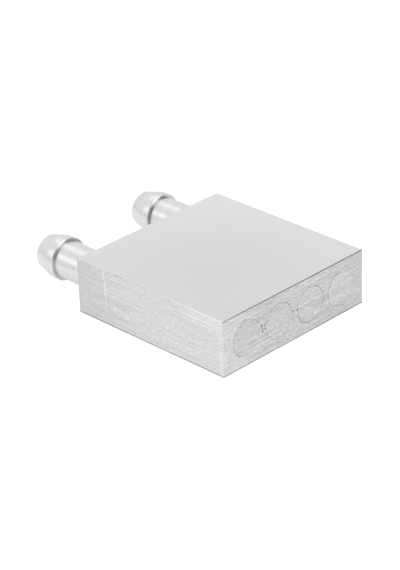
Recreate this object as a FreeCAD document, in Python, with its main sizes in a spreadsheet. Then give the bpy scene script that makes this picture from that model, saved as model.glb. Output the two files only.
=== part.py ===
"""Liquid cooling cold plate, a small aluminium water block, as a parametric FreeCAD document.

A length of extruded bar has four round channels side by side. Slots milled through the webs, by turns at
one end and at the other, join the channels into one serpentine. Turned plugs are pressed into the channel
mouths and ground flush. The two outer channels are left open at one end, and a turned hose barb is pressed
into each.

    X  across the channels; channel 1 is at the lowest X
    Y  along the channels; the plug face is at the lowest Y, and the barbs stand out of the port face, at +Y
    Z  up; the origin is at the centre of the lower contact face

Coolant enters the inlet barb, runs down channel 1, back up channel 2, down 3, up 4 and out again. Lengths
are in millimetres.
"""

import FreeCAD, Part

import os

import Sketcher

PARTS_FOLDER = "parts"
CHANNELS = (1, 2, 3, 4)
MIDDLE_CHANNELS = CHANNELS[1:-1]
MATCH = 1e-4  # how near an edge must be to the place that it is picked by

DIMENSIONS = (
    # the extruded bar
    ("channel_bore", 7.6, "diameter of each channel, and of what is pressed into it"),
    ("web_wall", 1.4, "metal between two channels"),
    ("side_wall", 2.7, "metal between an outer channel and the side of the bar"),
    ("cover_wall", 2.2, "metal between the channels and each contact face"),
    ("bar_length", 40.0, "length that the bar is cut to"),
    ("edge_break", 0.1, "chamfer along the bar's outer edges"),
    # the slots that join the channels
    ("slot_height", 5.0, "height of the slot milled through a web"),
    ("slot_length", 7.0, "length of that slot along the channels"),
    # the plugs
    ("plug_length", 5.0, "length of a plug"),
    ("plug_lead_in", 0.5, "chamfer at a plug's inner end"),
    ("plug_rim_break", 0.1, "fine chamfer left round a plug's ground face"),
    # the hose barbs
    ("shank_length", 5.0, "length of barb pressed into its channel"),
    ("shank_lead_in", 0.4, "chamfer at the shank's inner end"),
    ("tube_wall", 1.1, "wall of the shank round the barb's bore"),
    ("seat_step", 0.2, "how far the neck stands out past the channel, to seat on the bar"),
    ("neck_length", 9.8, "neck, from the bar to the back of the bulb"),
    ("barb_step", 0.65, "how far the bulb stands out past the neck"),
    ("rim_break", 0.15, "chamfer at the back rim of the bulb"),
    ("land_length", 2.0, "land behind the taper, measured before the two are blended"),
    ("bulb_length", 6.1, "whole bulb, land and taper"),
    ("taper_blend", 5.0, "radius that blends the land into the taper"),
    ("tip_wall", 0.8, "wall at the tip, before its edges are rounded"),
    ("tip_round", 0.65, "radius round the outside of the tip"),
    ("mouth_break", 0.15, "chamfer at the mouth of the bore"),
)

# Sizes that follow from the driving ones
SHANK_RADIUS = "dimensions.channel_bore / 2"
CHANNEL_PITCH = "(dimensions.channel_bore + dimensions.web_wall)"
BAR_HALF_WIDTH = f"({CHANNEL_PITCH} * 3 / 2 + {SHANK_RADIUS} + dimensions.side_wall)"
BAR_HALF_LENGTH = "dimensions.bar_length / 2"
BAR_HEIGHT = "(dimensions.channel_bore + 2 * dimensions.cover_wall)"
CHANNEL_HEIGHT = f"{BAR_HEIGHT} / 2"
BORE_RADIUS = f"({SHANK_RADIUS} - dimensions.tube_wall)"
NECK_RADIUS = f"({SHANK_RADIUS} + dimensions.seat_step)"
BULB_RADIUS = f"({NECK_RADIUS} + dimensions.barb_step)"
TIP_RADIUS = f"({BORE_RADIUS} + dimensions.tip_wall)"
LAND_END = "(dimensions.neck_length + dimensions.land_length)"
TIP = "(dimensions.neck_length + dimensions.bulb_length)"


def channel_place(channel):
    """X of a channel's axis. The four channels lie evenly about the middle of the bar."""
    steps_from_middle = channel - (CHANNELS[0] + CHANNELS[-1]) / 2
    return f"{CHANNEL_PITCH} * {steps_from_middle}"


def make_sheet(doc):
    """The driving dimensions, one to a row: what it is, and its value under its alias."""
    sheet = doc.addObject("Spreadsheet::Sheet", "dimensions")
    for row, (alias, value, meaning) in enumerate(DIMENSIONS, start=1):
        sheet.set(f"A{row}", meaning)
        sheet.set(f"B{row}", str(value))
        sheet.setAlias(f"B{row}", alias)
    doc.recompute()
    return sheet


# Sketches and features


def new_body(doc, name):
    body = doc.addObject("PartDesign::Body", name)
    body.Label = name
    return body


def new_sketch(body, plane, name, offset=None):
    """A sketch on one of the body's own origin planes, or at an offset along that plane's normal."""
    sketch = body.newObject("Sketcher::SketchObject", name)
    support = next(f for f in body.Origin.OriginFeatures if f.Role == plane)
    sketch.AttachmentSupport = [(support, "")]
    sketch.MapMode = "FlatFace"
    if offset:
        sketch.setExpression("AttachmentOffset.Base.z", offset)
    return sketch


def pin_point(sketch, geometry, position, name, place):
    """Holds a point of the sketch at a place given as two expressions."""
    for constraint, axis, expression in zip(("DistanceX", "DistanceY"), "uv", place):
        value = float(sketch.evalExpression(expression))
        index = sketch.addConstraint(
            Sketcher.Constraint(constraint, -1, 1, geometry, position, value)
        )
        sketch.renameConstraint(index, f"{name}_{axis}")
        sketch.setExpression(f"Constraints.{name}_{axis}", expression)


def draw_outline(sketch, name, corners):
    """A closed outline of straight lines, each corner held at its own pair of expressions."""
    points = [
        FreeCAD.Vector(*(float(sketch.evalExpression(e)) for e in corner), 0)
        for corner in corners
    ]
    ends = points[1:] + points[:1]
    lines = [
        sketch.addGeometry(Part.LineSegment(start, end), False)
        for start, end in zip(points, ends)
    ]
    for line, following in zip(lines, lines[1:] + lines[:1]):
        sketch.addConstraint(Sketcher.Constraint("Coincident", line, 2, following, 1))
    for number, (line, corner) in enumerate(zip(lines, corners), start=1):
        pin_point(sketch, line, 1, f"{name}_{number}", corner)


def draw_rectangle(sketch, name, left, right, bottom, top):
    corners = ((left, bottom), (right, bottom), (right, top), (left, top))
    draw_outline(sketch, name, corners)


def draw_circle(sketch, name, centre, diameter):
    middle = FreeCAD.Vector(*(float(sketch.evalExpression(e)) for e in centre), 0)
    radius = float(sketch.evalExpression(diameter)) / 2
    normal = FreeCAD.Vector(0, 0, 1)
    circle = sketch.addGeometry(Part.Circle(middle, normal, radius), False)
    pin_point(sketch, circle, 3, name, centre)
    index = sketch.addConstraint(Sketcher.Constraint("Diameter", circle, 2 * radius))
    sketch.renameConstraint(index, f"{name}_diameter")
    sketch.setExpression(f"Constraints.{name}_diameter", diameter)


def turn(body, profile, name):
    """Revolves a profile, drawn as radius and length, about the body's Y axis."""
    turned = body.newObject("PartDesign::Revolution", name)
    turned.Profile = profile
    turned.ReferenceAxis = (profile, ["V_Axis"])
    turned.Angle = 360
    return turned


def dress_edges(body, kind, name, base, edges, size_property, size):
    """A chamfer or a fillet on named edges of the feature before it."""
    dressed = body.newObject(kind, name)
    dressed.Base = (base, edges)
    dressed.setExpression(size_property, size)
    return dressed


def round_edges_at(shape, radius, length):
    """Names of the circular edges of that radius that lie that far along Y."""
    return [
        f"Edge{number}"
        for number, edge in enumerate(shape.Edges, start=1)
        if isinstance(edge.Curve, Part.Circle)
        and abs(edge.Curve.Radius - radius) < MATCH
        and abs(edge.Curve.Center.y - length) < MATCH
    ]


def outer_edges(shape):
    """Names of the straight edges where two outer faces of the bar meet."""
    box = shape.BoundBox
    names = []
    for number, edge in enumerate(shape.Edges, start=1):
        middle = edge.valueAt((edge.FirstParameter + edge.LastParameter) / 2)
        on_faces = (
            min(middle.x - box.XMin, box.XMax - middle.x) < MATCH,
            min(middle.y - box.YMin, box.YMax - middle.y) < MATCH,
            min(middle.z - box.ZMin, box.ZMax - middle.z) < MATCH,
        )
        if isinstance(edge.Curve, Part.Line) and sum(on_faces) == 2:
            names.append(f"Edge{number}")
    return names


# The pieces


def make_block(doc):
    """The bar, with its channels as extruded, its edges broken and its webs slotted through."""
    body = new_body(doc, "block_body")
    section = new_sketch(body, "XZ_Plane", "bar_section")
    draw_rectangle(
        section, "outside", f"-{BAR_HALF_WIDTH}", BAR_HALF_WIDTH, "0", BAR_HEIGHT
    )
    for channel in CHANNELS:
        centre = (channel_place(channel), CHANNEL_HEIGHT)
        draw_circle(section, f"channel_{channel}", centre, "dimensions.channel_bore")
    bar = body.newObject("PartDesign::Pad", "extruded_bar")
    bar.Profile = section
    bar.SideType = "Symmetric"
    bar.setExpression("Length", "dimensions.bar_length")
    doc.recompute()

    edges = outer_edges(bar.Shape)
    dress_edges(
        body,
        "PartDesign::Chamfer",
        "broken_edges",
        bar,
        edges,
        "Size",
        "dimensions.edge_break",
    )
    doc.recompute()

    # A sketch on the XZ plane faces -Y, so a positive offset brings it to the plug face
    behind_plugs = f"{BAR_HALF_LENGTH} - dimensions.plug_length"
    mill_slots(body, "plug_end_slots", (1, 3), behind_plugs, reverse=False)
    mill_slots(body, "port_end_slot", (2,), f"-({behind_plugs})", reverse=True)
    return body


def mill_slots(body, name, first_channels, offset, reverse):
    """Slots through the webs that follow the channels named, cut from behind the plugs into the bar."""
    sketch = new_sketch(body, "XZ_Plane", f"{name}_section", offset)
    half_height = "dimensions.slot_height / 2"
    for channel in first_channels:
        draw_rectangle(
            sketch,
            f"web_{channel}",
            channel_place(channel),
            channel_place(channel + 1),
            f"{CHANNEL_HEIGHT} - {half_height}",
            f"{CHANNEL_HEIGHT} + {half_height}",
        )
    slots = body.newObject("PartDesign::Pocket", name)
    slots.Profile = sketch
    slots.Reversed = reverse
    slots.setExpression("Length", "dimensions.slot_length")


def make_plug(doc, name, channel, at_port_face):
    """A turned plug. Its ground face is flush with the bar, and its inner end has a lead-in."""
    body = new_body(doc, name)
    profile = new_sketch(body, "XY_Plane", f"{name}_profile")
    corners = (
        ("0", "0"),
        (f"{SHANK_RADIUS} - dimensions.plug_rim_break", "0"),
        (SHANK_RADIUS, "dimensions.plug_rim_break"),
        (SHANK_RADIUS, "dimensions.plug_length - dimensions.plug_lead_in"),
        (f"{SHANK_RADIUS} - dimensions.plug_lead_in", "dimensions.plug_length"),
        ("0", "dimensions.plug_length"),
    )
    draw_outline(profile, "plug", corners)
    turn(body, profile, f"{name}_turned")

    side = "" if at_port_face else "-"
    half_turn = 180 if at_port_face else 0
    body.Placement.Rotation = FreeCAD.Rotation(FreeCAD.Vector(0, 0, 1), half_turn)
    body.setExpression("Placement.Base.x", channel_place(channel))
    body.setExpression("Placement.Base.y", f"{side}{BAR_HALF_LENGTH}")
    body.setExpression("Placement.Base.z", CHANNEL_HEIGHT)
    return body


def make_barb(doc, name, channel):
    """A turned hose barb: a shank in the channel, a neck that seats on the bar, and a rounded bulb."""
    body = new_body(doc, name)
    profile = new_sketch(body, "XY_Plane", f"{name}_profile")
    corners = (
        (BORE_RADIUS, "-dimensions.shank_length"),
        (f"{SHANK_RADIUS} - dimensions.shank_lead_in", "-dimensions.shank_length"),
        (SHANK_RADIUS, "dimensions.shank_lead_in - dimensions.shank_length"),
        (SHANK_RADIUS, "0"),
        (NECK_RADIUS, "0"),
        (NECK_RADIUS, "dimensions.neck_length"),
        (f"{BULB_RADIUS} - dimensions.rim_break", "dimensions.neck_length"),
        (BULB_RADIUS, "dimensions.neck_length + dimensions.rim_break"),
        (BULB_RADIUS, LAND_END),
        (TIP_RADIUS, TIP),
        (f"{BORE_RADIUS} + dimensions.mouth_break", TIP),
        (BORE_RADIUS, f"{TIP} - dimensions.mouth_break"),
    )
    draw_outline(profile, "barb", corners)
    last = turn(body, profile, f"{name}_turned")
    doc.recompute()

    rounds = (
        ("taper_start", BULB_RADIUS, LAND_END, "taper_blend"),
        ("tip", TIP_RADIUS, TIP, "tip_round"),
    )
    for place, radius, length, size in rounds:
        edges = round_edges_at(
            last.Shape,
            float(profile.evalExpression(radius)),
            float(profile.evalExpression(length)),
        )
        last = dress_edges(
            body,
            "PartDesign::Fillet",
            f"{name}_{place}_round",
            last,
            edges,
            "Radius",
            f"dimensions.{size}",
        )
        doc.recompute()

    body.setExpression("Placement.Base.x", channel_place(channel))
    body.setExpression("Placement.Base.y", BAR_HALF_LENGTH)
    body.setExpression("Placement.Base.z", CHANNEL_HEIGHT)
    return body


def check_document(doc, bodies):
    """Stops on a feature that failed without saying so, and on a piece that isn't one sound solid."""
    failed = [o.Name for o in doc.Objects if {"Invalid", "Error"} & set(o.State)]
    if failed:
        raise RuntimeError(f"features that failed: {failed}")
    for body in bodies:
        shape = body.Shape
        if shape.isNull() or not shape.isValid() or len(shape.Solids) != 1:
            raise RuntimeError(f"{body.Label} isn't one valid solid")


def main():
    doc = FreeCAD.newDocument("cold_plate")
    make_sheet(doc)
    bodies = [make_block(doc)]
    for channel in CHANNELS:
        bodies.append(make_plug(doc, f"end_plug_{channel}", channel, False))
    for channel in MIDDLE_CHANNELS:
        bodies.append(make_plug(doc, f"port_face_plug_{channel}", channel, True))
    bodies.append(make_barb(doc, "inlet_barb", CHANNELS[0]))
    bodies.append(make_barb(doc, "outlet_barb", CHANNELS[-1]))
    doc.recompute()
    check_document(doc, bodies)

    os.makedirs(PARTS_FOLDER, exist_ok=True)
    for body in bodies:
        body.Shape.exportStep(os.path.join(PARTS_FOLDER, f"{body.Label}.step"))
        box = body.Shape.BoundBox
        print(
            f"{body.Label}: {body.Shape.Volume:.1f} mm3,"
            f" x {box.XMin:.2f} to {box.XMax:.2f},"
            f" y {box.YMin:.2f} to {box.YMax:.2f},"
            f" z {box.ZMin:.2f} to {box.ZMax:.2f}"
        )


main()
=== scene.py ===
"""Looks of a small aluminium liquid cooling cold plate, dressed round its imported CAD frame.

The block is a length of extruded bar with ground faces, small pits and handling nicks. Ground
plugs close its channels, and two turned hose barbs stand out of the port face. Lengths are in
metres, except where a comment says millimetres. X runs across the channels, Y along them with the
barbs at +Y, and Z up from the lower contact face.
"""

import math

import bpy
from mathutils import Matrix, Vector


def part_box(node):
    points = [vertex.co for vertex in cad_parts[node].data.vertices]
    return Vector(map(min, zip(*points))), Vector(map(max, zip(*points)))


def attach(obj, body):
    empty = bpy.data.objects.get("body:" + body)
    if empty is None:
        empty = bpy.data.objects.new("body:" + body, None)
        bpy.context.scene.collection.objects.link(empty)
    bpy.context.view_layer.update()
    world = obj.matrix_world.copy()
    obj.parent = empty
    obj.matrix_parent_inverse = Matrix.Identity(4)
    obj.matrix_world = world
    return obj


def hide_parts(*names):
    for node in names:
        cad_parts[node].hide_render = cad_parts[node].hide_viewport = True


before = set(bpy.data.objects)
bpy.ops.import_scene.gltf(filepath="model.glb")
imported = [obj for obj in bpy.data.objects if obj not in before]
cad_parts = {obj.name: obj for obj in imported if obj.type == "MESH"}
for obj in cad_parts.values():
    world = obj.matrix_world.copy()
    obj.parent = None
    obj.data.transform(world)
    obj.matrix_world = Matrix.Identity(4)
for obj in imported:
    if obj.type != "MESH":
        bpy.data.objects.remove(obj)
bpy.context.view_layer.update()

MM = 0.001
BODY = "root"
NEAR = 0.01 * MM  # how close a place must be, to count as on a ring or a face
MERGE = 0.001 * MM

# Places read from the frame
BLOCK_LOW, BLOCK_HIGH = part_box("block_body")
PLUG_FACE = BLOCK_LOW.y
PORT_FACE = BLOCK_HIGH.y
CHANNEL_HEIGHT = (BLOCK_LOW.z + BLOCK_HIGH.z) / 2

# The block's wear. Pits in the plug face, in millimetres: where each is along X and Z, and its half
# size along X, Z and into the face.
END_FACE_PITS = (
    ((-9.40, 6.92), (0.21, 0.29, 0.38)),
    ((-9.25, 6.24), (0.13, 0.20, 0.28)),
    ((-9.15, 5.62), (0.23, 0.21, 0.38)),
    ((-9.35, 5.15), (0.20, 0.10, 0.10)),
    ((-8.65, 6.76), (0.17, 0.22, 0.32)),
    ((-8.15, 6.92), (0.20, 0.12, 0.18)),
    ((-8.38, 5.86), (0.19, 0.21, 0.32)),
    ((-0.55, 6.60), (0.18, 0.14, 0.24)),
    ((-0.72, 6.15), (0.10, 0.28, 0.16)),
    ((0.70, 6.35), (0.19, 0.16, 0.28)),
    ((1.55, 6.60), (0.20, 0.09, 0.16)),
    ((9.60, 5.60), (0.13, 0.10, 0.16)),
    ((-15.20, 3.95), (0.06, 0.22, 0.15)),
    ((-12.10, 0.22), (0.22, 0.16, 0.28)),
)
# Nicks elsewhere, in millimetres: centre and half size along X, Y and Z
NICKS = (
    ((-20.0, 20.0, 4.05), (0.16, 0.20, 0.32)),
    ((-20.0, 19.6, 3.70), (0.10, 0.40, 0.12)),
    ((-19.97, 9.00, 11.95), (0.17, 0.24, 0.17)),
    ((-19.97, 8.30, 11.97), (0.14, 0.18, 0.14)),
    ((-19.97, 7.50, 11.95), (0.16, 0.27, 0.16)),
    ((13.67, -15.10, 12.0), (0.17, 0.13, 0.08)),
)
PIT_DETAIL = 3
PIT_ROUGHNESS = 0.35  # as a share of the pit's least half size
PIT_UNEVENNESS = 0.6
PIT_SMOOTHING = 0.5
BURR_SIZE = 0.28 * MM
BURR_HEIGHT = 0.8 * MM
BURR_INSET = 0.002 * MM  # keeps its faces off the block's, for a clean join
BLOCK_SMOOTH_ANGLE = 20
FLAT_NORMAL = 0.999  # a face this square to an axis can be one of the block's sides
FLAT_DEPTH = 0.005 * MM  # and lies at most this far from it

# The plugs
PLUG_SIDES = 96
GROUND_DEPTH = 0.35 * MM  # how deep the gap round a plug's ground face runs
PLUG_LEAD_IN = 0.5 * MM
PLUG_SMOOTH_ANGLE = 30
CLOSED_GAP = 0.012 * MM
# Where the gap round each ground face is wider: from and to, in degrees from +X towards +Z, and its
# width in millimetres
RIM_GAPS = {
    "end_plug_1": (
        (30, 58, 0.065), (58, 100, 0.038), (100, 150, 0.05), (150, 205, 0.052), (205, 240, 0.07),
    ),
    "end_plug_2": (
        (25, 52, 0.06), (52, 112, 0.055), (112, 165, 0.055), (205, 262, 0.045), (262, 300, 0.045),
    ),
    "end_plug_3": (
        (0, 25, 0.05), (25, 75, 0.07), (75, 118, 0.045), (118, 160, 0.055), (160, 200, 0.05),
        (200, 245, 0.055), (245, 285, 0.06), (285, 360, 0.05),
    ),
    "end_plug_4": (
        (10, 40, 0.03), (95, 130, 0.07), (130, 172, 0.06), (172, 205, 0.045), (240, 272, 0.06),
    ),
    "port_face_plug_2": ((30, 95, 0.05), (95, 160, 0.03), (200, 290, 0.06)),
    "port_face_plug_3": ((0, 60, 0.04), (60, 130, 0.06), (170, 250, 0.03), (250, 320, 0.05)),
}

# The barbs, as radius and length from the port face
BARB_SIDES = 128
BARB_OFFSET = 13.5 * MM  # from the middle of the block to each barb's axis
NECK_RADIUS = 4.0 * MM
NECK_LENGTH = 9.8 * MM
BULB_RADIUS = 4.65 * MM
TIP_RADIUS = 3.5 * MM
BORE_RADIUS = 2.7 * MM
SHANK_RADIUS = 3.8 * MM
SHANK_LENGTH = 5.0 * MM
SHANK_LEAD_IN = 0.4 * MM
LAND_END = 11.8 * MM
BARB_LENGTH = 15.9 * MM
RIM_BREAK = 0.15 * MM
MOUTH_BREAK = 0.15 * MM
TAPER_BLEND = 0.688 * MM  # length of land and of taper that the blend between them takes
TAPER_SEGMENTS = 8
TIP_ROUND = 0.49 * MM
TIP_SEGMENTS = 6
BARB_SMOOTH_ANGLE = 25

# The finishes. Tones run from 0 for black to 1 for white.
# The top, the long sides and the plug face differ in tone partly with their finishes, and partly as
# painted light and shade for how light falls on each face
TOP_TONE = 0.768
SIDE_TONE = 0.728
END_TONE = 0.688
TURNED_TONE = 0.770
PAINTED_SHADE_TONE = 0.26  # painted shade along the top edge of the plug face, and painted shadow round the bottom
RAW_AND_PAINTED_SHADE_TONE = 0.35  # on the walls inside, which aren't ground, and as painted shade in the pits and round the plugs
# painted shade in the dents along the top edge
DENT_PAINTED_SHADE_TONE = 0.45
FADED_PAINTED_SHADE_TONE = 0.45  # of the painted shade along the top of the plug face, at its end by the long side
# How strongly the lines change the tone
SIDE_LINES = 0.38
END_LINES = 0.52
TOP_LINES = 0.012
TURNED_LINES = 0.14
# The roughness between the lines, and how much they change it
GROUND_ROUGHNESS = (0.45, 0.10)
TURNED_ROUGHNESS = (0.30, 0.12)
GROUND_BUMP = 0.08 * MM
TURNED_BUMP = 0.03 * MM
# The lines' width and length in millimetres, and the strength of the layers over the long lines
GROUND_GRAIN = {"Line Width": 0.12, "Line Length": 18.0, "Short Lines": 0.7, "Speckle": 1.5}
TURNED_GRAIN = {"Line Width": 0.20, "Line Length": 60.0, "Short Lines": 0.4, "Speckle": 0.1}
# How many times finer each layer is along and across: long lines, short lines, speckle
GRAIN_LAYERS = ((1.0, 0.5), (4.0, 0.8), (20.0, 1.0))
GRAIN_DRIFT = 0.5  # how fast the lines change with the third place

# Where the finishes and the painted light and shade change, in millimetres. A step says along which
# axis it runs, from and to where, and the value before and after. A window opens, along each of its
# axes, from the first place to the second.
# Painted light and shade on the plug face: lighter towards -X, darker towards +X and the bottom
END_PAINTED_SHADING = (
    ("X", -16.5, -8.0, 0.11, 0.015),
    ("X", 3.0, 11.0, 0.0, -0.055),
    ("Z", 1.0, 9.0, -0.02, 0.0),
)
# Painted light and shade on the long sides: lighter towards the plug face, darker towards the port
# face
SIDE_PAINTED_SHADING = (
    ("Y", -4.0, 8.0, 0.03, 0.0),
    ("Y", 4.0, 18.0, 0.0, -0.085),
)
SIDE_PAINTED_HIGHLIGHT = 0.055  # a painted highlight, in these two windows of the long sides
PAINTED_HIGHLIGHT_END = {"Y": (-18.2, -20.0)}
PAINTED_HIGHLIGHT_UPPER = {"Y": (-6.0, -13.0), "Z": (8.0, 10.0)}
STRIPE_HEIGHT = 10.3
STRIPE_EDGES = (0.1, 0.4)  # distance from its middle
STRIPE_BRIGHTER = 0.06
STRIPE_WINDOW = {"Y": (-8.0, -13.0)}
TOP_SLOPE = (0.0017, 0.0011)  # painted light across the top: a slope per millimetre along X and Y
TOP_MIDDLE = (3.0, 24.0, -0.022, 0.012)  # a step outward from the middle
TOP_EDGE_TILT = 0.707  # the upward part of the normal of the broken edges round the top
TOP_EDGE_LIMITS = (0.02, 0.2)  # how far a normal is from that
TOP_EDGE_PAINTED_HIGHLIGHT = (1.0, 7.0, 1.25, 1.08)  # a painted highlight on those edges, as a step along Y
# The scratch down the long side: its place along Y, as steps along Z
SCRATCH_PLACE = (
    ("Z", 3.0, 9.0, 11.95, 12.15),
    ("Z", 9.0, 11.4, 0.0, 0.22),
    ("Z", 11.3, 12.0, 0.0, -0.30),
)
SCRATCH_EDGES = (0.05, 0.30)  # distance from its middle
SCRATCH_WINDOW = {"Z": (2.4, 7.0), "X": (-19.6, -19.8)}
SCRATCH_BRIGHTER = 0.15
# Painted shade along the top edge of the plug face, fading towards its end by the long side
TOP_OF_END_PAINTED_SHADE = {"Z": (11.80, 11.88), "Y": (-19.86, -19.88)}
PAINTED_SHADE_FADE = (-19.5, -14.5)  # along X
# Painted contact shadow round the bottom of the long sides and the plug face
BOTTOM_PAINTED_SHADOW = {"Z": (0.33, 0.22)}
BESIDE_FACE = (0.10, 0.12)  # depth below the block's faces
DENTS_MIDDLE = 8.25  # along Y
DENTS_ENDS = (1.3, 1.5)  # distance from their middle
DENTS_DEPTH = (0.05, 0.09)
DENTS_WINDOW = {"Z": (11.4, 11.6), "X": (-19.4, -19.6)}
INSIDE_DEPTH = (0.05, 0.15)  # depth below the block's faces
INSIDE_EDGE = (0.2, 0.35)  # distance from the block's outer edges
STEP_CORNER_BACK = 0.02  # from the barb's step back to the middle of the painted shade in its corner
STEP_CORNER_EDGES = (0.04, 0.12)  # distance from there
STEP_CORNER_RADIUS = (4.55, 4.42)  # it reaches from the neck out to here
STEP_CORNER_PAINTED_SHADE = 0.80  # as a share of the tone
FACING = (0.85, 0.95)  # part of a face's normal along an axis, for it to count as square to it

# The camera and the studio
CAMERA_PLACE = (-0.273865, -0.270368, 0.207818)
CAMERA_TURN = (62.2175, 1.6850, -45.6520)
CAMERA_LENS = 137.987
CAMERA_SENSOR = 36.0
CAMERA_CLIP = (0.01, 20.0)
FLOOR_SIZE = 6.0
FLOOR_DROP = 0.02 * MM
FLOOR_COLOUR = (0.8, 0.8, 0.8, 1.0)
WHITE = (1.0, 1.0, 1.0, 1.0)
FLOOR_GLOW_SEEN = 0.75
FLOOR_GLOW_NEAR = 0.41  # what reflections show of the floor round the block
FLOOR_GLOW_FAR = 0.10  # and further away
FLOOR_GLOW_REACH = (0.06, 0.13)  # from the middle of the block
SKY_LIGHT = 0.657
SKY_REFLECTED = 0.93
FRONT_REFLECTED = 0.42  # how bright reflections show the front wall, against the ceiling
FRONT_WALL = {"Y": (-0.15, -0.50), "Z": (0.78, 0.58)}  # a window in the directions from the part
# Softboxes: where each is, what it points at, its width and height, and its power in watts
LAMPS = {
    "front_high": ((0.08, -0.44, 0.52), (0, 0, 0), (0.5, 0.5), 0.80),
    "streak_left": ((-0.41, 0.41, 0.25), (0, 0.03, 0), (0.20, 0.20), 0.068),
    "streak_back": ((0.10, 0.43, 0.445), (0, 0.03, 0), (0.25, 0.20), 0.057),
}


# Modelling helpers


def select_only(piece):
    """Leaves one object selected and active."""
    bpy.ops.object.select_all(action="DESELECT")
    piece.select_set(True)
    bpy.context.view_layer.objects.active = piece


def edit(piece, mode="VERT"):
    """Goes into edit mode with nothing selected."""
    select_only(piece)
    bpy.ops.object.mode_set(mode="EDIT")
    bpy.ops.mesh.select_mode(type=mode)
    bpy.ops.mesh.select_all(action="DESELECT")


def leave_edit():
    bpy.ops.object.mode_set(mode="OBJECT")


def select_parts(piece, mode, wanted):
    """Selects the vertices or faces that are wanted. Works between two edit steps."""
    bpy.ops.object.mode_set(mode="OBJECT")
    mesh = piece.data
    for part in (*mesh.vertices, *mesh.edges, *mesh.polygons):
        part.select = False
    for part in mesh.vertices if mode == "VERT" else mesh.polygons:
        part.select = bool(wanted(part))
    bpy.ops.object.mode_set(mode="EDIT")
    bpy.ops.mesh.select_mode(type=mode)


def named(name):
    """The object that the last operator made, under its name."""
    piece = bpy.context.active_object
    piece.name = name
    piece.data.name = name
    return piece


def settle(piece):
    """Puts a piece's place, turn and scale into its mesh."""
    select_only(piece)
    bpy.ops.object.transform_apply(location=True, rotation=True, scale=True)


def smooth(piece, degrees):
    select_only(piece)
    bpy.ops.object.shade_smooth_by_angle(angle=math.radians(degrees))


def flatten_outside(piece, low, high):
    """Shades the faces on the sides of a box flat, so that nothing small bends their light."""

    def on_a_side(face):
        across = max(range(3), key=lambda axis: abs(face.normal[axis]))
        side = high if face.normal[across] > 0 else low
        return (
            abs(face.normal[across]) > FLAT_NORMAL
            and abs(face.center[across] - side[across]) < FLAT_DEPTH
        )

    edit(piece, "FACE")
    select_parts(piece, "FACE", on_a_side)
    bpy.ops.mesh.faces_shade_flat()
    leave_edit()


def dress(piece, slot, material, *nodes):
    """A finished piece: it rides on its body, takes its finish and stands for its CAD nodes."""
    piece.data.materials.clear()
    piece.data.materials.append(material)
    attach(piece, BODY)
    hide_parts(*nodes)


# Shader helpers


def put(tree, kind, inputs=None, **settings):
    """A shader node with its settings, and its inputs linked or set by name or number."""
    node = tree.nodes.new(kind)
    for name, value in settings.items():
        setattr(node, name, value)
    for key, value in (inputs or {}).items():
        if isinstance(value, bpy.types.NodeSocket):
            tree.links.new(value, node.inputs[key])
        else:
            node.inputs[key].default_value = value
    return node


def calc(tree, operation, *values):
    return put(tree, "ShaderNodeMath", dict(enumerate(values)), operation=operation).outputs[0]


def chain(tree, operation, first, *others):
    """Adds, multiplies or compares any number of values."""
    for value in others:
        first = calc(tree, operation, first, value)
    return first


def distance(tree, value, middle):
    """How far a value is from a middle, either way."""
    return calc(tree, "ABSOLUTE", calc(tree, "SUBTRACT", value, middle))


def ramp(tree, value, low, high, to_low=0.0, to_high=1.0):
    """Runs from to_low to to_high as value goes from low to high, and stays there."""
    node = put(
        tree,
        "ShaderNodeMapRange",
        {0: value, 1: low, 2: high, 3: to_low, 4: to_high},
        interpolation_type="SMOOTHSTEP",
    )
    return node.outputs[0]


def sum_steps(tree, parts, steps):
    """The steps added up, each along its own axis."""
    return chain(tree, "ADD", *(ramp(tree, parts[axis], *step) for axis, *step in steps))


def window(tree, parts, limits):
    """1 where a window is open along all its axes, and 0 where it is shut."""
    sides = (ramp(tree, parts[axis], *ends) for axis, ends in limits.items())
    return chain(tree, "MULTIPLY", *sides)


def mix_value(tree, factor, first, second):
    return put(tree, "ShaderNodeMix", {0: factor, 2: first, 3: second}).outputs[0]


def mix_vector(tree, factor, first, second):
    inputs = {0: factor, 4: first, 5: second}
    return put(tree, "ShaderNodeMix", inputs, data_type="VECTOR").outputs[1]


def vector_of(tree, x, y, z):
    return put(tree, "ShaderNodeCombineXYZ", {0: x, 1: y, 2: z}).outputs[0]


def vector_calc(tree, operation, *vectors):
    inputs = dict(enumerate(vectors))
    return put(tree, "ShaderNodeVectorMath", inputs, operation=operation).outputs[0]


def vector_length(tree, vector):
    node = put(tree, "ShaderNodeVectorMath", {0: vector}, operation="LENGTH")
    return node.outputs["Value"]


def split(tree, vector):
    """The x, y and z of a vector."""
    return put(tree, "ShaderNodeSeparateXYZ", {0: vector}).outputs


def new_group(name, inputs, outputs):
    """A shader node group with its sockets, given as name and kind."""
    group = bpy.data.node_groups.new(name, "ShaderNodeTree")
    for way, sockets in (("INPUT", inputs), ("OUTPUT", outputs)):
        for label, kind in sockets.items():
            group.interface.new_socket(label, in_out=way, socket_type="NodeSocket" + kind)
    return group, put(group, "NodeGroupInput").outputs, put(group, "NodeGroupOutput").inputs


def use_group(tree, group, inputs):
    return put(tree, "ShaderNodeGroup", inputs, node_tree=group).outputs


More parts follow.
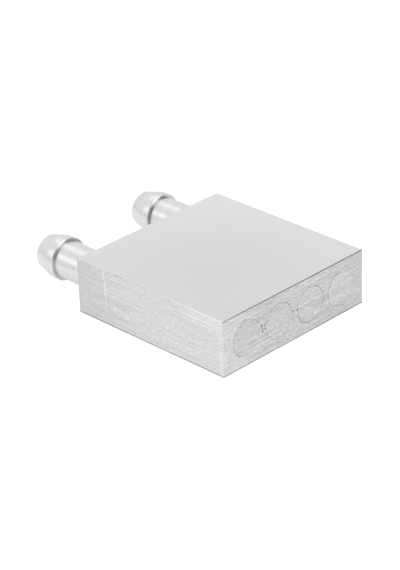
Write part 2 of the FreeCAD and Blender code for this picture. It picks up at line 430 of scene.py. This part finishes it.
def make_grain_lines():
    """Grinding or turning lines: long soft lines, short fine ones over them and speckle.

    Its vector is in millimetres, along the lines, across them, and a third place.
    """
    group, given, result = new_group(
        "grain_lines",
        {
            "Vector": "Vector",
            "Line Width": "Float",
            "Line Length": "Float",
            "Short Lines": "Float",
            "Speckle": "Float",
        },
        {"Lines": "Float"},
    )
    across = calc(group, "DIVIDE", 1.0, given["Line Width"])
    along = calc(group, "DIVIDE", 1.0, given["Line Length"])
    layers = []
    for along_times, across_times in GRAIN_LAYERS:
        scale = vector_of(
            group,
            calc(group, "MULTIPLY", along, along_times),
            calc(group, "MULTIPLY", across, across_times),
            GRAIN_DRIFT,
        )
        stretched = vector_calc(group, "MULTIPLY", given["Vector"], scale)
        inputs = {"Vector": stretched, "Scale": 1.0, "Detail": 0.0}
        noise = put(group, "ShaderNodeTexNoise", inputs)
        layers.append(calc(group, "SUBTRACT", noise.outputs[0], 0.5))
    lines = calc(group, "MULTIPLY_ADD", layers[1], given["Short Lines"], layers[0])
    lines = calc(group, "MULTIPLY_ADD", layers[2], given["Speckle"], lines)
    group.links.new(lines, result["Lines"])
    return group


def make_box_edges():
    """Distances from the nearest edge and the nearest face of a box about a centre."""
    group, given, result = new_group(
        "box_edges",
        {"Vector": "Vector", "Centre": "Vector", "Half Size": "Vector"},
        {"Edge Distance": "Float", "Depth": "Float"},
    )
    from_centre = vector_calc(group, "SUBTRACT", given["Vector"], given["Centre"])
    from_centre = vector_calc(group, "ABSOLUTE", from_centre)
    depths = split(group, vector_calc(group, "SUBTRACT", given["Half Size"], from_centre))
    least, most, total = (chain(group, way, *depths) for way in ("MINIMUM", "MAXIMUM", "ADD"))
    middle = calc(group, "SUBTRACT", calc(group, "SUBTRACT", total, least), most)
    group.links.new(middle, result["Edge Distance"])
    group.links.new(least, result["Depth"])
    return group


GRAIN_LINES = make_grain_lines()
BOX_EDGES = make_box_edges()


# Finishes


def new_material(name):
    material = bpy.data.materials.new(name)
    material.use_nodes = True
    tree = material.node_tree
    return material, tree, tree.nodes["Principled BSDF"]


def object_place(tree):
    """The object's own coordinates in millimetres."""
    coords = put(tree, "ShaderNodeTexCoord").outputs["Object"]
    return put(tree, "ShaderNodeMapping", {"Vector": coords, "Scale": (1 / MM,) * 3}).outputs[0]


def object_normal(tree):
    return split(tree, put(tree, "ShaderNodeTexCoord").outputs["Normal"])


def facing(tree, component):
    """1 on faces square to an axis, from that part of their normal, and 0 on the rest."""
    return ramp(tree, calc(tree, "ABSOLUTE", component), *FACING)


def lined(tree, tone, lines, strength):
    """A tone with lines in it."""
    return calc(tree, "MULTIPLY_ADD", calc(tree, "MULTIPLY", lines, strength), tone, tone)


def finish_metal(tree, shader, tone, lines, roughness, height, depth):
    """Feeds a metal's tone, roughness and bump to its shader."""
    base, change = roughness
    bump = put(tree, "ShaderNodeBump", {"Strength": 1.0, "Distance": depth, "Height": height})
    grey = put(tree, "ShaderNodeCombineColor", {0: tone, 1: tone, 2: tone})
    tree.links.new(grey.outputs[0], shader.inputs["Base Color"])
    tree.links.new(calc(tree, "MULTIPLY_ADD", lines, change, base), shader.inputs["Roughness"])
    tree.links.new(bump.outputs[0], shader.inputs["Normal"])
    shader.inputs["Metallic"].default_value = 1.0


def ground_lines(tree, parts, normal):
    """Grinding lines on the bar and its plugs: along Y on the long faces, along X on the ends."""
    x, y, z = parts
    on_end, on_top = facing(tree, normal["Y"]), facing(tree, normal["Z"])
    place = mix_vector(tree, on_end, vector_of(tree, y, z, x), vector_of(tree, x, z, y))
    place = mix_vector(tree, on_top, place, vector_of(tree, y, x, z))
    lines = use_group(tree, GRAIN_LINES, {"Vector": place, **GROUND_GRAIN})[0]
    return lines, on_end, on_top


def make_bar_finish():
    """The extruded bar: ground ends and sides, satin contact faces, painted light and shade, pits,
    a scratch.
    """
    material, tree, shader = new_material("ground_bar")
    place, normal = object_place(tree), object_normal(tree)
    parts = split(tree, place)
    x, y, z = parts
    lines, on_end, on_top = ground_lines(tree, parts, normal)
    box = {
        "Vector": place,
        "Centre": tuple((BLOCK_LOW + BLOCK_HIGH) / 2 / MM),
        "Half Size": tuple((BLOCK_HIGH - BLOCK_LOW) / 2 / MM),
    }
    edge_distance, depth = use_group(tree, BOX_EDGES, box)

    def by_face(side, end, top):
        """One value for the long sides, the ends, and the top and bottom."""
        return mix_value(tree, on_top, mix_value(tree, on_end, side, end), top)

    # Painted light and shade: each face is lighter or darker from place to place, for how light
    # falls on it
    # Painted highlights on the long sides: by the plug face, and higher up
    painted_highlight = calc(
        tree, "MAXIMUM", window(tree, parts, PAINTED_HIGHLIGHT_END), window(tree, parts, PAINTED_HIGHLIGHT_UPPER)
    )
    stripe = ramp(tree, distance(tree, z, STRIPE_HEIGHT), *STRIPE_EDGES, STRIPE_BRIGHTER, 0.0)
    side_painted_light_and_stripe = chain(
        tree,
        "ADD",
        sum_steps(tree, parts, SIDE_PAINTED_SHADING),
        calc(tree, "MULTIPLY", painted_highlight, SIDE_PAINTED_HIGHLIGHT),
        calc(tree, "MULTIPLY", stripe, window(tree, parts, STRIPE_WINDOW)),
    )
    top_painted_shading = chain(
        tree,
        "ADD",
        calc(tree, "MULTIPLY", x, TOP_SLOPE[0]),
        calc(tree, "MULTIPLY", y, TOP_SLOPE[1]),
        ramp(tree, vector_length(tree, vector_of(tree, x, y, 0.0)), *TOP_MIDDLE),
    )
    painted_light_and_stripe = by_face(side_painted_light_and_stripe, sum_steps(tree, parts, END_PAINTED_SHADING), top_painted_shading)
    # Each face's tone: partly its finish, partly painted light and shade
    tone = by_face(SIDE_TONE, END_TONE, TOP_TONE)
    tone = calc(tree, "MULTIPLY_ADD", tone, painted_light_and_stripe, tone)
    strength = by_face(SIDE_LINES, END_LINES, TOP_LINES)
    tone = lined(tree, tone, lines, strength)
    # A painted highlight on the broken edges round the top
    from_tilt = distance(tree, normal["Z"], TOP_EDGE_TILT)
    on_top_edge = ramp(tree, from_tilt, *TOP_EDGE_LIMITS, 1.0, 0.0)
    top_edge_highlight = mix_value(tree, on_top_edge, 1.0, ramp(tree, y, *TOP_EDGE_PAINTED_HIGHLIGHT))
    tone = calc(tree, "MULTIPLY", tone, top_edge_highlight)

    # The scratch down the long side near the port face
    off_scratch = distance(tree, y, sum_steps(tree, parts, SCRATCH_PLACE))
    scratch = ramp(tree, off_scratch, *SCRATCH_EDGES, 1.0, 0.0)
    scratch = calc(tree, "MULTIPLY", scratch, window(tree, parts, SCRATCH_WINDOW))
    tone = calc(tree, "MULTIPLY_ADD", scratch, SCRATCH_BRIGHTER, tone)

    # Painted shade along the top of the plug face, and a painted contact shadow all round the
    # bottom
    top_of_end_shade = ramp(tree, x, *PAINTED_SHADE_FADE, FADED_PAINTED_SHADE_TONE, PAINTED_SHADE_TONE)
    tone = mix_value(tree, window(tree, parts, TOP_OF_END_PAINTED_SHADE), tone, top_of_end_shade)
    # Painted contact shadow round the bottom
    bottom_painted_shadow = chain(
        tree,
        "MULTIPLY",
        window(tree, parts, BOTTOM_PAINTED_SHADOW),
        ramp(tree, depth, *BESIDE_FACE, 1.0, 0.0),
        calc(tree, "SUBTRACT", 1.0, on_top),
    )
    tone = mix_value(tree, bottom_painted_shadow, tone, PAINTED_SHADE_TONE)

    # Painted shade in the dents in the top edge, beside the scratch
    dent_painted_shade = chain(
        tree,
        "MULTIPLY",
        ramp(tree, depth, *DENTS_DEPTH),
        ramp(tree, distance(tree, y, DENTS_MIDDLE), *DENTS_ENDS, 1.0, 0.0),
        window(tree, parts, DENTS_WINDOW),
    )
    tone = mix_value(tree, dent_painted_shade, tone, DENT_PAINTED_SHADE_TONE)

    # Inside: raw walls in the channels, and painted shade in the pits behind the faces
    inside = calc(
        tree,
        "MULTIPLY",
        ramp(tree, depth, *INSIDE_DEPTH),
        ramp(tree, edge_distance, *INSIDE_EDGE),
    )
    tone = mix_value(tree, inside, tone, RAW_AND_PAINTED_SHADE_TONE)
    height = calc(tree, "MULTIPLY", lines, strength)
    finish_metal(tree, shader, tone, lines, GROUND_ROUGHNESS, height, GROUND_BUMP)
    return material


def make_plug_finish():
    """The plugs: ground with the bar, with painted shade where their turned sides show in the gap.
    """
    material, tree, shader = new_material("ground_plug_face")
    parts = split(tree, object_place(tree))
    lines, on_end, _ = ground_lines(tree, parts, object_normal(tree))
    # Painted shade on the plug's turned sides, in the gap round its ground face
    tone = lined(tree, mix_value(tree, on_end, RAW_AND_PAINTED_SHADE_TONE, END_TONE), lines, END_LINES)
    height = calc(tree, "MULTIPLY", lines, END_LINES)
    finish_metal(tree, shader, tone, lines, GROUND_ROUGHNESS, height, GROUND_BUMP)
    return material


def make_barb_finish():
    """The turned barbs: fine rings round the neck and bulb, and painted shade where neck meets
    step.
    """
    material, tree, shader = new_material("turned_aluminium")
    x, y, z = split(tree, object_place(tree))
    place = vector_of(tree, calc(tree, "ADD", x, z), y, 0.0)
    lines = use_group(tree, GRAIN_LINES, {"Vector": place, **TURNED_GRAIN})[0]
    tone = calc(tree, "MULTIPLY_ADD", lines, TURNED_LINES, TURNED_TONE)

    # Painted shade in the corner between neck and step
    from_axis = vector_of(
        tree,
        calc(tree, "SUBTRACT", calc(tree, "ABSOLUTE", x), BARB_OFFSET / MM),
        0.0,
        calc(tree, "SUBTRACT", z, CHANNEL_HEIGHT / MM),
    )
    off_step = distance(tree, y, (PORT_FACE + NECK_LENGTH) / MM - STEP_CORNER_BACK)
    corner = calc(
        tree,
        "MULTIPLY",
        ramp(tree, off_step, *STEP_CORNER_EDGES, 1.0, 0.0),
        ramp(tree, vector_length(tree, from_axis), *STEP_CORNER_RADIUS),
    )
    tone = calc(tree, "MULTIPLY", tone, ramp(tree, corner, 0.0, 1.0, 1.0, STEP_CORNER_PAINTED_SHADE))
    finish_metal(tree, shader, tone, lines, TURNED_ROUGHNESS, lines, TURNED_BUMP)
    return material


# The block


def make_pit_cutter(centre, half_size, seed):
    """An irregular lump that cuts one pit or nick."""
    bpy.ops.object.select_all(action="DESELECT")
    bpy.ops.mesh.primitive_ico_sphere_add(
        subdivisions=PIT_DETAIL, radius=1, location=centre, scale=half_size
    )
    cutter = named("pit_cutter")
    settle(cutter)
    edit(cutter)
    bpy.ops.mesh.select_all(action="SELECT")
    bpy.ops.transform.vertex_random(
        offset=min(half_size) * PIT_ROUGHNESS, uniform=PIT_UNEVENNESS, seed=seed
    )
    bpy.ops.mesh.vertices_smooth(factor=PIT_SMOOTHING, repeat=1)
    leave_edit()
    return cutter


def cut(piece, tool, operation="DIFFERENCE"):
    """Cuts the piece with a tool, or joins the tool to it, and removes the tool."""
    select_only(piece)
    boolean = piece.modifiers.new("cut", "BOOLEAN")
    boolean.operation = operation
    boolean.solver = "EXACT"
    boolean.object = tool
    bpy.ops.object.modifier_apply(modifier=boolean.name)
    bpy.data.meshes.remove(tool.data)


def make_worn_block(material):
    """The CAD bar, merged, with its pits and nicks cut and a small burr at one lower corner."""
    piece = bpy.data.objects.new("worn_block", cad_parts["block_body"].data.copy())
    bpy.context.scene.collection.objects.link(piece)
    edit(piece)
    bpy.ops.mesh.select_all(action="SELECT")
    bpy.ops.mesh.remove_doubles(threshold=MERGE)
    leave_edit()

    lumps = [
        ((px * MM, PLUG_FACE, pz * MM), (sx * MM, sy * MM, sz * MM))
        for (px, pz), (sx, sz, sy) in END_FACE_PITS
    ]
    lumps += [
        (tuple(v * MM for v in centre), tuple(v * MM for v in half_size))
        for centre, half_size in NICKS
    ]
    for seed, (centre, half_size) in enumerate(lumps):
        cut(piece, make_pit_cutter(centre, half_size, seed))

    bpy.ops.object.select_all(action="DESELECT")
    bpy.ops.mesh.primitive_cube_add(
        size=1,
        location=(
            BLOCK_HIGH.x - BURR_SIZE / 2 - BURR_INSET,
            BLOCK_LOW.y + BURR_SIZE / 2 + BURR_INSET,
            BLOCK_LOW.z + BURR_HEIGHT / 2 + BURR_INSET,
        ),
        scale=(BURR_SIZE, BURR_SIZE, BURR_HEIGHT),
    )
    burr = named("burr")
    settle(burr)
    cut(piece, burr, "UNION")
    smooth(piece, BLOCK_SMOOTH_ANGLE)
    flatten_outside(piece, BLOCK_LOW, BLOCK_HIGH)
    dress(piece, "extruded_bar", material, "block_body")


# The plugs


def make_ground_plug(node, material):
    """A turned plug pressed into its channel, with a broken gap round its ground face."""
    low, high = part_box(node)
    centre = (low + high) / 2
    outward = -1 if centre.y < 0 else 1
    face = low.y if outward < 0 else high.y
    inner = high.y if outward < 0 else low.y
    shoulder = face - outward * GROUND_DEPTH
    radius = (high.x - low.x) / 2

    bpy.ops.object.select_all(action="DESELECT")
    bpy.ops.mesh.primitive_cylinder_add(
        vertices=PLUG_SIDES,
        radius=radius,
        depth=abs(shoulder - inner),
        location=(centre.x, (shoulder + inner) / 2, centre.z),
        rotation=(math.radians(90), 0, 0),
    )
    piece = named("ground_" + node)
    settle(piece)

    edit(piece, "FACE")
    select_parts(piece, "FACE", lambda part: abs(part.center.y - inner) < NEAR)
    bpy.ops.mesh.bevel(offset=PLUG_LEAD_IN, segments=1, affect="EDGES")
    select_parts(piece, "FACE", lambda part: abs(part.center.y - shoulder) < NEAR)
    bpy.ops.mesh.extrude_region_move(
        TRANSFORM_OT_translate={"value": (0, outward * GROUND_DEPTH, 0)}
    )

    def narrow(start, end, width):
        """Draws the rim of the ground face in by a width, over one stretch of it."""

        def on_rim(vert):
            place = vert.co
            angle = math.degrees(math.atan2(place.z - centre.z, place.x - centre.x)) % 360
            return abs(place.y - face) < NEAR and start <= angle <= end

        select_parts(piece, "VERT", on_rim)
        scale = (radius - width) / radius
        bpy.ops.transform.resize(
            value=(scale, 1, scale), center_override=(centre.x, face, centre.z)
        )

    narrow(0, 360, CLOSED_GAP)
    for start, end, width in RIM_GAPS[node]:
        narrow(start, end, width * MM)
    leave_edit()
    smooth(piece, PLUG_SMOOTH_ANGLE)
    dress(piece, "ground_plug", material, node)


# The barbs


def make_turned_barb(node, material):
    """A hose barb, drawn ring by ring from its mouth, over the bulb and neck, to its bore."""
    low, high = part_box(node)
    axis_x, axis_z = (low.x + high.x) / 2, (low.z + high.z) / 2
    rings = (
        (BORE_RADIUS + MOUTH_BREAK, BARB_LENGTH),
        (TIP_RADIUS, BARB_LENGTH),
        (BULB_RADIUS, LAND_END),
        (BULB_RADIUS, NECK_LENGTH + RIM_BREAK),
        (BULB_RADIUS - RIM_BREAK, NECK_LENGTH),
        (NECK_RADIUS, NECK_LENGTH),
        (NECK_RADIUS, 0.0),
        (SHANK_RADIUS, 0.0),
        (SHANK_RADIUS, -SHANK_LENGTH + SHANK_LEAD_IN),
        (SHANK_RADIUS - SHANK_LEAD_IN, -SHANK_LENGTH),
        (BORE_RADIUS, -SHANK_LENGTH),
        (BORE_RADIUS, BARB_LENGTH - MOUTH_BREAK),
        (BORE_RADIUS + MOUTH_BREAK, BARB_LENGTH),
    )
    radius, length = rings[0]
    bpy.ops.object.select_all(action="DESELECT")
    bpy.ops.mesh.primitive_circle_add(
        vertices=BARB_SIDES,
        radius=radius,
        location=(axis_x, PORT_FACE + length, axis_z),
        rotation=(math.radians(90), 0, 0),
    )
    piece = named("turned_" + node)
    settle(piece)
    edit(piece)
    bpy.ops.mesh.select_all(action="SELECT")
    for next_radius, next_length in rings[1:]:
        bpy.ops.mesh.extrude_region_move(
            TRANSFORM_OT_translate={"value": (0, next_length - length, 0)}
        )
        scale = next_radius / radius
        bpy.ops.transform.resize(
            value=(scale, 1, scale),
            center_override=(axis_x, PORT_FACE + next_length, axis_z),
        )
        radius, length = next_radius, next_length
    bpy.ops.mesh.select_all(action="SELECT")
    bpy.ops.mesh.remove_doubles(threshold=MERGE)
    bpy.ops.mesh.normals_make_consistent(inside=False)

    for ring_radius, ring_length, offset, segments in (
        (BULB_RADIUS, LAND_END, TAPER_BLEND, TAPER_SEGMENTS),
        (TIP_RADIUS, BARB_LENGTH, TIP_ROUND, TIP_SEGMENTS),
    ):

        def on_ring(vert):
            out = math.hypot(vert.co.x - axis_x, vert.co.z - axis_z)
            along = vert.co.y - PORT_FACE
            return abs(out - ring_radius) < NEAR and abs(along - ring_length) < NEAR

        select_parts(piece, "VERT", on_ring)
        bpy.ops.mesh.bevel(offset=offset, segments=segments, affect="EDGES")
    leave_edit()
    smooth(piece, BARB_SMOOTH_ANGLE)
    dress(piece, "turned_barb", material, node)


# The studio


def seen_in_metal(tree, path):
    """1 for light that comes by way of a reflection, and 0 for the rest."""
    return calc(tree, "MAXIMUM", path["Is Glossy Ray"], path["Is Transmission Ray"])


def make_floor():
    """A plain white floor that stays white to the camera and keeps a faint shadow."""
    bpy.ops.object.select_all(action="DESELECT")
    bpy.ops.mesh.primitive_plane_add(size=FLOOR_SIZE, location=(0, 0, -FLOOR_DROP))
    floor = named("floor")
    material, tree, shader = new_material("white_floor")
    tree.nodes.remove(shader)
    path = put(tree, "ShaderNodeLightPath").outputs
    away = vector_length(tree, put(tree, "ShaderNodeTexCoord").outputs["Object"])
    glow = ramp(tree, away, *FLOOR_GLOW_REACH, FLOOR_GLOW_NEAR, FLOOR_GLOW_FAR)
    glow = calc(tree, "MULTIPLY", seen_in_metal(tree, path), glow)
    glow = calc(tree, "MULTIPLY_ADD", path["Is Camera Ray"], FLOOR_GLOW_SEEN, glow)
    diffuse = put(tree, "ShaderNodeBsdfDiffuse", {"Color": FLOOR_COLOUR})
    glowing = put(tree, "ShaderNodeEmission", {"Color": WHITE, "Strength": glow})
    both = put(tree, "ShaderNodeAddShader", {0: diffuse.outputs[0], 1: glowing.outputs[0]})
    tree.links.new(both.outputs[0], tree.nodes["Material Output"].inputs["Surface"])
    floor.data.materials.append(material)


def make_surround():
    """A plain white surround, softer as light. In reflections its front wall is dim."""
    world = bpy.data.worlds.new("studio")
    bpy.context.scene.world = world
    world.use_nodes = True
    tree = world.node_tree
    path = put(tree, "ShaderNodeLightPath").outputs
    direction = split(tree, put(tree, "ShaderNodeTexCoord").outputs["Generated"])
    front = window(tree, direction, FRONT_WALL)
    wall = mix_value(tree, front, SKY_REFLECTED, SKY_REFLECTED * FRONT_REFLECTED)
    strength = mix_value(tree, seen_in_metal(tree, path), SKY_LIGHT, wall)
    strength = mix_value(tree, path["Is Camera Ray"], strength, 1.0)
    background = tree.nodes["Background"]
    background.inputs["Color"].default_value = WHITE
    tree.links.new(strength, background.inputs["Strength"])


def make_lamp(name, place, aim, size, watts):
    lamp = bpy.data.lights.new(name, "AREA")
    lamp.shape = "RECTANGLE"
    lamp.size, lamp.size_y = size
    lamp.energy = watts
    lamp_object = bpy.data.objects.new(name, lamp)
    bpy.context.scene.collection.objects.link(lamp_object)
    lamp_object.location = place
    lamp_object.visible_camera = False
    lamp_object.rotation_euler = (
        (Vector(aim) - Vector(place)).to_track_quat("-Z", "Y").to_euler()
    )


def make_camera():
    lens = bpy.data.cameras.new("camera")
    lens.lens = CAMERA_LENS
    lens.sensor_width = CAMERA_SENSOR
    lens.clip_start, lens.clip_end = CAMERA_CLIP
    camera = bpy.data.objects.new("camera", lens)
    bpy.context.scene.collection.objects.link(camera)
    camera.location = CAMERA_PLACE
    camera.rotation_euler = [math.radians(angle) for angle in CAMERA_TURN]
    bpy.context.scene.camera = camera


bar_finish = make_bar_finish()
plug_finish = make_plug_finish()
barb_finish = make_barb_finish()

make_worn_block(bar_finish)
for node in RIM_GAPS:
    make_ground_plug(node, plug_finish)
for node in ("inlet_barb", "outlet_barb"):
    make_turned_barb(node, barb_finish)

make_floor()
make_surround()
for name, settings in LAMPS.items():
    make_lamp(name, *settings)
make_camera()
bpy.context.scene.view_settings.view_transform = "Standard"
